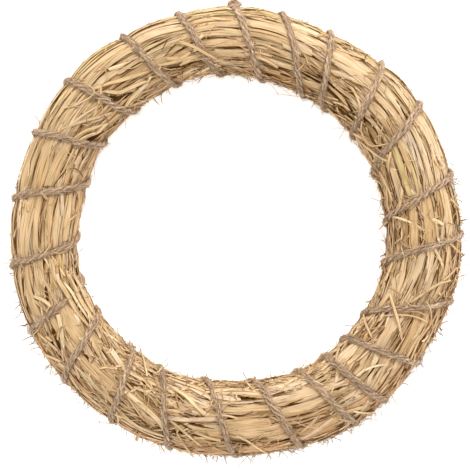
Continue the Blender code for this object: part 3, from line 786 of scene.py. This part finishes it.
# Width in mm and tint, then ring angle, section angle and height in mm at each station.
LOOSE_STRAWS = (
    (2, 0.85, (338.3, 129, 3), (333.8, 110, 4), (327.2, 81, 2.4)),
    (1.4, 0.9, (330.6, 125, 1), (333.4, 102, 1.6), (334.9, 82, 1.8), (335, 59, 1)),
    (1.2, 0.9, (333.4, 110, 1.2), (336.3, 83, 2), (336.3, 61, 1.2)),
    (1.8, 0.3, (338.1, 96, 0.9), (343.4, 77, 1.6), (350.7, 39, 2.2)),
    (1.4, 0.3, (343.1, 81, 1), (345.6, 66, 2), (347.4, 47, 2.4)),
    (1.8, 0.85, (327.5, 165, 1.2), (323.9, 132, 1.6), (322.6, 120, 1)),
    (3, 0.55, (205.4, 92, 0.8), (209.5, 86, 1.4), (214.5, 72, 0.8)),
    (2.5, 0.35, (207.6, 41, 0.8), (210.9, 53, 1.4), (214.4, 60, 0.9)),
    (2.3, 0.5, (213.1, 27, 1), (215, 41, 1.4), (217.1, 51, 0.8)),
    (2.6, 0.45, (198, 64, 0.7), (199.8, 79, 1.4), (202.5, 87, 0.8)),
    (2.2, 0.5, (198.6, 59, 0.8), (200.7, 71, 1.6), (203.4, 79, 0.8)),
    (1.3, 0.1, (220.5, 68, 0.9), (224.9, 70, 1.3), (229.5, 69, 1)),
    (1.3, 0.2, (222, 70, 0.9), (225.2, 66, 1.3), (228.3, 61, 1)),
    (1.8, 0.5, (239.3, 132, 1), (234.3, 163, 2.4), (230.7, 180, 5)),
    (3, 0.5, (247.7, 134, 1), (254.4, 121, 1.6), (261.3, 100, 1)),
    (3, 0.6, (246.2, 150, 0.9), (254.8, 144, 1.4), (260, 137, 0.9)),
    (3.5, 0.15, (235.9, 92, 0.7), (242.5, 86, 1.2), (248.8, 74, 1.4), (251.4, 58, 0.8)),
    (2.5, 0.3, (237, 59, 0.8), (243.5, 50, 1.5), (251.5, 50, 0.9)),
    (1.3, 0.1, (223.3, 73, 0.9), (231.8, 68, 1.4), (238.1, 57, 1)),
    (2, 0.6, (251.6, 80, 0.9), (256.2, 69, 1.5), (261.8, 47, 1)),
    (1.3, 0.4, (237.3, 53, 1), (238.5, 44, 2), (239.6, 32, 3)),
    (1.5, 0.6, (40.5, 127, 1.2), (38.2, 137, 2.4), (34.8, 140, 3.2), (31.4, 135, 3.4), (29.3, 111, 1.6)),
    (2, 0.55, (35.3, 159, 0.9), (30.4, 145, 1.8), (26.2, 132, 2.4), (24.1, 124, 1.4)),
    (1.2, 0.6, (33.3, 122, 1.2), (32.6, 111, 3), (30.5, 108, 3), (28.9, 110, 1.2)),
    (2, 0.5, (26.7, 115, 1.4), (24.2, 123, 2.4), (21.4, 131, 1)),
    (1, 0.3, (21.3, 180, 0.8), (18.3, 156, 2), (15.9, 158, 1)),
    (2.8, 0.4, (134.2, 82, 0.8), (129.9, 93, 1.3), (124.4, 103, 1.3), (118, 112, 0.8)),
    (2.2, 0.35, (114.1, 110, 0.8), (109.3, 115, 1.4), (103.8, 116, 1)),
    (2.6, 0.6, (132.3, 98, 0.9), (129.3, 113, 2), (125.3, 118, 2), (120, 124, 1)),
    (3.2, 0.4, (130.9, 142, 0.8), (126.9, 134, 1.4), (119.9, 130, 0.9)),
    (1, 0.6, (144.1, 63, 1), (141.1, 79, 1.8), (136.4, 88, 2.2), (134.5, 84, 2), (134.9, 68, 1)),
    (2.8, 0.45, (150.4, 104, 0.8), (145.2, 117, 1.6), (140.3, 136, 0.9)),
    (2.4, 0.6, (150.7, 111, 0.8), (146.7, 122, 2), (143.1, 139, 1)),
    (3.2, 0.5, (195.4, 113, 1.2), (200, 118, 2.7), (206, 122, 1.4), (213.6, 128, 0.2)),
    (2.2, 0.6, (196.6, 122, 1.2), (200.6, 127, 2.6), (206.6, 132, 1.3), (213.4, 135, 0.2)),
    (3.6, 0.7, (194.2, 132, 1), (199.6, 136, 2.5), (206, 140, 1.3), (213, 144, 0.2)),
    (3, 0.75, (195, 146, 0.9), (199.6, 149, 2.4), (205, 152, 1.2), (212, 155, 0.2)),
    (1.8, 0.5, (271, 70, 0.9), (275.2, 53, 1.4), (279.4, 18, 1.6)),
    (1.8, 0.4, (288.8, 60, 1), (292, 70, 1.8), (295.2, 78, 1.2)),
    (1.6, 0.6, (303.8, 56, 1), (306.5, 34, 1.5), (308.3, 12, 1.2)),
    (2.2, 0.5, (61.8, 176, 1), (66, 180, 3.2), (69, 181, 4.6), (73, 181, 6)),
    (1.2, 0.3, (215.2, 26, 0.9), (217.6, 11, 4), (220.8, 3, 9)),
    (1.2, 0.5, (352, 12, 1.2), (348, 4, 4.4), (343.8, 0, 7)),
    (2.2, 0.6, (106, 86, 1), (102.6, 98, 2.8), (98.6, 114, 3.8), (95.5, 126, 2.6)),
    (3, 0.5, (111, 106, 0.9), (107, 111, 2), (103.4, 108, 1.4)),
    (1.8, 0.6, (254.6, 62, 0.9), (258.5, 32, 1.6), (260.2, 10, 3.5)),
    (1.4, 0.5, (8.4, 44, 1), (6.5, 34, 2.2), (4.5, 25, 4)),
    (1.6, 0.6, (3.6, 160, 1), (2.4, 172, 2.6), (0.6, 182, 5)),
    (1, 0.5, (66.4, 14, 0.9), (68.4, 6, 3.2), (70.2, 2, 6.5)),
    (2.2, 0.8, (245.4, 36, 0.8), (245.1, 25, 2.4), (245.2, 8, 4)),
)
# Painted shade: dark ribbons where the outer straws have parted furthest and the shaded heart would show
# between them.
HOLLOWS = (
    (3.2, 0, (150, 124, 0.4), (146.8, 133, 0.5), (143.4, 143, 0.4)),
    (3.2, 0, (133.4, 106, 0.4), (130.5, 122, 0.5), (125, 130, 0.4)),
    (3, 0, (112.6, 122, 0.4), (108.7, 128, 0.5), (104.3, 130, 0.4)),
    (1.8, 0, (196.2, 90, 0.4), (198.5, 88, 0.5), (200.9, 86, 0.4)),
    (2.2, 0, (208.1, 72, 0.4), (211.2, 70, 0.5), (214.8, 64, 0.4)),
    (1.7, 0, (218.2, 91, 0.4), (220.7, 92, 0.5), (223.7, 91, 0.4)),
    (2.6, 0, (49.4, 145, 0.4), (45.1, 142, 0.5), (41.1, 139, 0.4)),
    (1.8, 0, (62.2, 111, 0.4), (57.1, 114, 0.5), (51.8, 118, 0.4)),
    (2.2, 0, (58.5, 125, 0.4), (53.9, 126, 0.5), (49.4, 131, 0.4)),
    (1.6, 0, (67.2, 119, 0.4), (63, 121, 0.5), (58.9, 121, 0.4)),
    (1.8, 0, (49.5, 122, 0.4), (45.5, 128, 0.5), (41.9, 135, 0.4)),
    (1.6, 0, (74.4, 138, 0.4), (70.4, 136, 0.5), (66.4, 133, 0.4)),
    (1.6, 0, (250.4, 48, 0.4), (252.7, 60, 0.5), (255.4, 68, 0.4)),
    (1.6, 0, (255.2, 87, 0.4), (258.6, 83, 0.5), (261.8, 82, 0.4)),
    (1.4, 0, (39, 65, 0.4), (35.2, 68, 0.5), (32, 69, 0.4)),
    (3, 0, (31, 130, 0.4), (28.3, 126, 0.5), (26.5, 119, 0.4)),
)


def laid_out(straws):
    """Smooth courses of straws from such a table, and the way out of the bundle along them."""
    share = np.linspace(0, 1, 13)
    stations = np.array([through(course, share) for _, _, *course in straws])
    angle, section = np.radians(stations[..., 0]), np.radians(stations[..., 1])
    return over_bundle(angle, section, stations[..., 2] / 1000), outward_at(angle, section)


count = len(LOOSE_STRAWS)
widths = np.array([width for width, *_ in LOOSE_STRAWS]) / 1000
tips = rng.uniform(0.45, 0.95, (count, 2))
looks = np.column_stack([rng.uniform(0.5, 0.85, count), [tint for _, tint, *_ in LOOSE_STRAWS]])
loose_straws = bend_along(
    "loose_straws", RIBBON, *laid_out(LOOSE_STRAWS), widths, 0.00035, tips, looks, loose_finish, dish=0.15
)
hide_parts(*[f"loose_straw_{number:02d}" for number in range(1, 24)])

# Painted shade: these ribbons are a darker brown than the heart and lie where the straws part most.
painted_deep_shade_finish = painted_shade_material("straw in deep shade", (52, 30, 10), (92, 60, 26))
widths = np.array([width for width, *_ in HOLLOWS]) / 1000
tips, looks = np.full((len(HOLLOWS), 2), 0.1), np.ones((len(HOLLOWS), 2))
painted_hollow_shade = bend_along("painted_hollow_shade", RIBBON, *laid_out(HOLLOWS), widths, 0.0002, tips, looks, painted_deep_shade_finish)


# Chaff and hairs. Short chips, splinters and thin frayed ends stand up all over the ring, most
# at the near side and inside it, and hairs stick out past its edges.
def sprung(rng, angle, section, stations, lengths, yaw, heights, rise, curl):
    """Courses of short straws that start at those places on the bundle and lift off it."""
    count = len(angle)
    share = np.linspace(0, 1, stations)[None, :]
    length = rng.uniform(0, 1, (count, 1)) ** 1.8 * (lengths[1] - lengths[0]) + lengths[0]
    heading = rng.normal(0, yaw, (count, 1)) + rng.integers(0, 2, (count, 1)) * math.pi
    turned = heading + rng.normal(0, curl, (count, 1)) * share
    run = length / (stations - 1)
    ahead = np.cumsum(np.cos(turned) * run, axis=1)
    aside = np.cumsum(np.sin(turned) * run, axis=1)
    reach = RING_RADIUS + BUNDLE_RADIUS * np.cos(section)
    angle = angle + ahead / reach
    section = section + aside / BUNDLE_RADIUS
    start = rng.uniform(*heights, (count, 1))
    top = rng.uniform(0, 1, (count, 1)) ** 1.5 * (rise[1] - rise[0]) + rise[0]
    height = start + top * share ** rng.uniform(1.0, 2.5, (count, 1))
    return over_bundle(angle, section, height), outward_at(angle, section), angle, section


def strewn(rng, count, stations, lengths, yaw, heights, rise, curl, evenness, clump=1):
    """Such straws one by one or in clumps, all over the bundle, with more of them where it is untidy."""
    angle, section = [], []
    while len(angle) < count:
        place = rng.uniform(0, math.tau, 2)
        if rng.random() < evenness + (1 - evenness) * untidy(*place) ** 1.5:
            around = rng.normal(0, 1, (2, clump)) if clump > 1 else np.zeros((2, 1))
            angle.extend(place[0] + 0.007 * around[0])
            section.extend(place[1] + 0.06 * around[1])
    angle, section = np.array(angle)[:, None], np.array(section)[:, None]
    return sprung(rng, angle, section, stations, lengths, yaw, heights, rise, curl)


def lay_strewn(name, rng, blank, placed, tone, widths, thickness, tips, tints, dish=0.0):
    """A piece of strewn straws. The tone is one for each of them, or the middle and spread of a draw."""
    lines, out, _, _ = placed
    count = len(lines)
    width = rng.uniform(*widths, count)
    tip = rng.uniform(*tips, (count, 2))
    if isinstance(tone, tuple):
        tone = rng.normal(*tone, count)
    looks = np.column_stack([tone, rng.uniform(*tints, count)]).clip(0, 1)
    piece = bend_along(name, blank, lines, out, width, thickness, tip, looks, loose_finish, dish)


def rim_shade(placed):
    """How much darker hairs are at the rims, where they stand against the white."""
    return np.abs(np.cos(placed[3][:, 0])) ** 3


CHIP = strand_blank(4, (2,))
STRIP = strand_blank(4, (7,))
chips = strewn(
    rng, 2300, stations=4, lengths=(0.0025, 0.012), yaw=0.40, heights=(-0.0008, 0.0001),
    rise=(0.0, 0.0026), curl=0.5, evenness=0.05,
)
lay_strewn(
    "chaff", rng, CHIP, chips, tone=(0.52, 0.17), widths=(0.0004, 0.0017), thickness=0.0004,
    tips=(0.1, 0.8), tints=(0.3, 0.8), dish=0.1,
)
strips = strewn(
    rng, 420, stations=9, lengths=(0.008, 0.030), yaw=0.34, heights=(-0.0004, 0.0005),
    rise=(0.0, 0.0014), curl=0.2, evenness=0.03,
)
lay_strewn(
    "loose_strips", rng, STRIP, strips, tone=(0.58, 0.13), widths=(0.0010, 0.0032), thickness=0.00035,
    tips=(0.4, 1.0), tints=(0.3, 0.8), dish=0.12,
)
curls = strewn(
    rng, 280, stations=9, lengths=(0.007, 0.024), yaw=0.42, heights=(-0.0004, 0.0003),
    rise=(0.0004, 0.0042), curl=0.6, evenness=0.03,
)
lay_strewn(
    "curled_straws", rng, STRIP, curls, tone=(0.62, 0.22), widths=(0.0005, 0.0020), thickness=0.0003,
    tips=(0.1, 0.6), tints=(0.3, 0.95), dish=0.1,
)
hairs = strewn(
    rng, 900, stations=7, lengths=(0.006, 0.022), yaw=0.50, heights=(-0.0004, 0.0002),
    rise=(0.0006, 0.0090), curl=0.9, evenness=0.16,
)
lay_strewn(
    "frayed_hairs", rng, HAIR, hairs, tone=rng.normal(0.50, 0.12, len(hairs[0])) - 0.32 * rim_shade(hairs),
    widths=(0.00030, 0.00070), thickness=0.0003, tips=(0.2, 0.9), tints=(0.2, 0.7),
)
tufts = strewn(
    rng, 480, stations=7, lengths=(0.006, 0.019), yaw=0.55, heights=(-0.0004, 0.0002),
    rise=(0.0006, 0.0050), curl=1.0, evenness=0.16, clump=6,
)
lay_strewn(
    "tufts", rng, HAIR, tufts, tone=rng.normal(0.46, 0.14, len(tufts[0])) - 0.28 * rim_shade(tufts),
    widths=(0.00030, 0.00095), thickness=0.0003, tips=(0.2, 0.9), tints=(0.2, 0.9),
)

# The near and right rims are the most ragged, and dark hairs hang out past the edge there.
RIM_HAIRS = 190
rim_rng = np.random.default_rng(47)
rim_angle = np.radians(rim_rng.uniform(-165, 20, (RIM_HAIRS, 1)))
rim_section = np.radians(rim_rng.normal(4, 9, (RIM_HAIRS, 1)))
ragged = sprung(
    rim_rng, rim_angle, rim_section, stations=7, lengths=(0.005, 0.014), yaw=0.8,
    heights=(-0.0004, 0.0002), rise=(0.0020, 0.0085), curl=1.3,
)
lay_strewn(
    "rim_hairs", rim_rng, HAIR, ragged, tone=(0.10, 0.10), widths=(0.00035, 0.00070), thickness=0.0003,
    tips=(0.3, 0.9), tints=(0.3, 0.7),
)


# Jute twine. One length of three soft plies is wound round the bundle in a long helix, drawn
# tight, and sinks into the straw at every turn. Short fibres stand out from it.
TWINE_HEIGHT = 0.0004
TWINE_LOWEST = 0.0021
PLY_RADIUS = 0.00099
PLY_ASIDE = 0.00096
PLY_UP = 0.00070
TWIST_LENGTH = 0.0185
KNOT_TURN = -16.0 / 360.0
KNOT_GAP = 0.046


def twine_course(turns, height=TWINE_HEIGHT, lowest=TWINE_LOWEST):
    """Middle of the twine after that many turns, counted from an outer side."""
    wrap = np.floor(turns)
    share = turns - wrap
    wander = 0.0022 * np.sin(29.3 * turns) + 0.0016 * np.sin(53.1 * turns + 1.0)
    points = over_bundle(ring_angle(wrap, share) + wander, math.tau * share, height)
    points[:, 2] = np.maximum(points[:, 2], lowest)
    return points


def jute_finish(name):
    """Raw jute: taupe with pale and dark fibres, and painted shade down between the plies."""
    finish = Finish(name, 0.92, 0.2)
    ply_shade, _, _, _ = finish.looks()
    fibre = finish.grain(260.0, 3200.0, 3.0)
    colour = finish.ramp(fibre, ((0.30, (116, 74, 46)), (0.70, (255, 226, 188))))
    blotches = finish.spread(finish.grain(90.0, 90.0, 3.0), 0.3, 0.7, 0.62, 1.30)
    colour = finish.blend("MULTIPLY", 1.0, colour, blotches)
    # Painted shade: the look's first value darkens the jute towards this brown down between the plies.
    finish.join(finish.blend("MIX", ply_shade, colour, linear(84, 50, 28)), finish.shader["Base Color"])
    finish.bump(fibre, 0.7, 0.0004)
    finish.join(0.12, finish.shader["Sheen Weight"])
    finish.join(0.5, finish.shader["Sheen Roughness"])
    return finish.material


def lay_plies(name, blank, course, outward, plies, radius, aside, up_offset, twist, material):
    """Twists plies round a course, as a rope maker does. They lie wider than they stand."""
    points, faces = blank
    stations = len(course)
    length = np.concatenate([[0], np.cumsum(np.linalg.norm(np.diff(course, axis=0), axis=1))])
    forward = unit_length(np.gradient(course, axis=0))
    side = unit_length(np.cross(forward, outward))
    up = np.cross(side, forward)
    station = np.round(points[:, 2] * (stations - 1)).astype(int)
    round_ply = np.arctan2(points[:, 1], points[:, 0])
    slack = 1 + 0.16 * np.sin(length / 0.031) + 0.14 * np.sin(length / 0.0113 + 1.0)
    places, looks, runs, rounds = [], [], [], []
    for ply in range(plies):
        turn = math.tau * (length / twist + ply / plies) + 0.5 * np.sin(length / 0.019)
        middle = course + (aside * slack * np.cos(turn))[:, None] * side
        middle = middle + (up_offset * np.sin(turn))[:, None] * up
        out = (np.cos(turn)[:, None] * side + np.sin(turn)[:, None] * up)[station]
        over = np.cross(forward[station], out)
        ring = np.cos(round_ply)[:, None] * out + np.sin(round_ply)[:, None] * over
        full = 1 + 0.12 * np.sin(length / 0.0073 + 2.4 * ply)
        places.append(middle[station] + radius * full[station][:, None] * ring)
        look = np.ones((len(points), 4))
        # Painted shade: the side of each ply that faces the others is marked to be darker.
        look[:, 0] = np.clip(-0.1 - 0.9 * np.cos(round_ply), 0, 0.85)
        looks.append(look)
        runs.append(length[station] + 0.7 * ply)
        rounds.append(radius * (round_ply + 1.5 * np.sin(round_ply)) + 0.011 * ply)
    return joined_copies(
        name, faces, np.array(places), np.array(runs), np.array(rounds), np.array(looks), material
    )


jute = jute_finish("raw jute")
TWINE_CUTS = (45, 59)
TWINE_STATIONS = 46 * 60 + 1
turns = np.linspace(KNOT_TURN + KNOT_GAP, KNOT_TURN + WRAPS - KNOT_GAP, TWINE_STATIONS)
twine_line = twine_course(turns)
twine_out = twine_course(turns, TWINE_HEIGHT + 0.01, -1.0) - twine_course(turns, TWINE_HEIGHT, -1.0)
twine = lay_plies(
    "jute_binding", strand_blank(6, TWINE_CUTS), twine_line, twine_out,
    plies=3, radius=PLY_RADIUS, aside=PLY_ASIDE, up_offset=PLY_UP, twist=TWIST_LENGTH, material=jute,
)
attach(twine, "root")
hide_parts("jute_twine")


def fuzz_along(name, line, out, count, steps, lean_past, inside, lift, drift, widths, deep):
    """Fibres that leave the twine's surface: long ones stay close to it, short ones stand out."""
    picked = rng.integers(0, len(line) - 3 * steps[1], count)
    step = rng.integers(*steps, count)
    share = np.linspace(0, 1, 4)[None, :, None]
    at = picked[:, None] + step[:, None] * np.arange(4)[None, :]
    spine = line[at]
    normal = unit_length(out[at])
    ahead = unit_length(np.gradient(spine, axis=1))
    beside = np.cross(ahead, normal)
    lean = rng.uniform(-lean_past, math.pi + lean_past, (count, 1, 1))
    lean = lean + rng.normal(0, drift, (count, 1, 1)) * share
    toward = np.cos(lean) * beside + np.sin(lean) * normal
    course = spine + toward * (inside + rng.uniform(*lift, (count, 1, 1)) * share ** 1.6)
    course = course + ahead * rng.normal(0, 0.0008, (count, 1, 1)) * share
    width = rng.uniform(*widths, count)
    tips = rng.uniform(0.3, 0.9, (count, 2))
    # Each fibre takes a random share, up to deep, of the dark brown painted between the plies.
    looks = np.column_stack([rng.uniform(0, deep, count), np.ones(count)])
    fibres = bend_along(name, strand_blank(3, (2,)), course, normal, width, 0.00015, tips, looks, jute)


fuzz_along(
    "jute_fuzz", twine_line, twine_out, 3400, steps=(3, 8), lean_past=0.35, inside=0.0015,
    lift=(0.0004, 0.0024), drift=0.3, widths=(0.00014, 0.00030), deep=0.3,
)
fuzz_along(
    "jute_fibres", twine_line, twine_out, 3600, steps=(4, 14), lean_past=0.25, inside=0.00155,
    lift=(0.0, 0.0008), drift=1.6, widths=(0.00012, 0.00026), deep=0.9,
)


# Knot. The two ends of the twine are tied in a small overhand knot at the far outer edge, drawn
# tight against the straw. Two short tails point under the ring and one cut end fans out beside it.
KNOT_WIDTH = 0.0120
KNOT_TAIL = 0.0110
knot_strand = 0.00137
unit = (KNOT_WIDTH / 2 - knot_strand) / 3
rise = 1.15 * unit
opening = 0.62
loop_turn = np.linspace(opening / 2, math.tau - opening / 2, 27)
reach = unit * (2 + np.cos(3 * loop_turn))
loop_points = np.column_stack([
    reach * np.sin(2 * loop_turn), -reach * np.cos(2 * loop_turn), rise * np.sin(3 * loop_turn)
])
knot_flat = np.concatenate([
    [(-2.9 * unit, -KNOT_TAIL - 1.2 * unit, -rise), (-2.9 * unit, -4.3 * unit, -0.7 * rise)],
    loop_points,
    [(2.7 * unit, -4.3 * unit, -0.7 * rise), (3.4 * unit, -KNOT_TAIL, -rise)],
])
knot_flat[:, 0] = 0.78 * knot_flat[:, 0] - 0.0017
KNOT_STATIONS = 241
knot_course = through(knot_flat, np.linspace(0, 1, KNOT_STATIONS))
section = math.tau * KNOT_TURN + knot_course[:, 1] / BUNDLE_RADIUS
knot_angle = ring_angle(np.floor(section / math.tau), section / math.tau - np.floor(section / math.tau))
knot_angle = knot_angle + knot_course[:, 0] / (RING_RADIUS + BUNDLE_RADIUS)
knot_line = over_bundle(knot_angle, section, rise + knot_strand + knot_course[:, 2])
knot_line[:, 2] = np.maximum(knot_line[:, 2], TWINE_LOWEST)
knot = lay_plies(
    "jute_knot", strand_blank(8, (15, 14)), knot_line, outward_at(knot_angle, section),
    plies=3, radius=0.00085, aside=0.00085, up_offset=0.00080, twist=0.010, material=jute,
)
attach(knot, "root")
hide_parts("twine_knot")
fuzz_along(
    "knot_fuzz", knot_line, outward_at(knot_angle, section), 260, steps=(4, 12), lean_past=3.0,
    inside=0.0013, lift=(0.0002, 0.0018), drift=0.8, widths=(0.00016, 0.00034), deep=0.5,
)

count = 300
share = np.linspace(0, 1, 6)[None, :, None]
fan = rng.uniform(0, 1, (count, 1, 1))
root = np.array((0.0030, 0.1492, 0.0168)) + rng.normal(0, 0.0008, (count, 1, 3))
cut = np.array((-0.0058, 0.1492, 0.0162)) + fan * np.array((0.0062, 0.0062, 0.0006))
cut = cut + rng.normal(0, 1, (count, 1, 3)) * np.array((0.0004, 0.0004, 0.0013))
bow = np.array((0, 0, 0.0012)) * np.sin(math.pi * share) * rng.normal(0, 1, (count, 1, 1))
cut_end = root + (cut - root) * share + bow
out = np.broadcast_to((0.0, 0.0, 1.0), cut_end.shape)
width = rng.uniform(0.0003, 0.0006, count)
tips = rng.uniform(0.5, 1.0, (count, 2))
# Each fibre of the cut end takes a random share of the dark brown painted between the plies.
looks = np.column_stack([rng.uniform(0.1, 0.8, count), np.ones(count)])
brush = bend_along("cut_jute_end", strand_blank(3, (4,)), cut_end, out, width, 0.0003, tips, looks, jute)
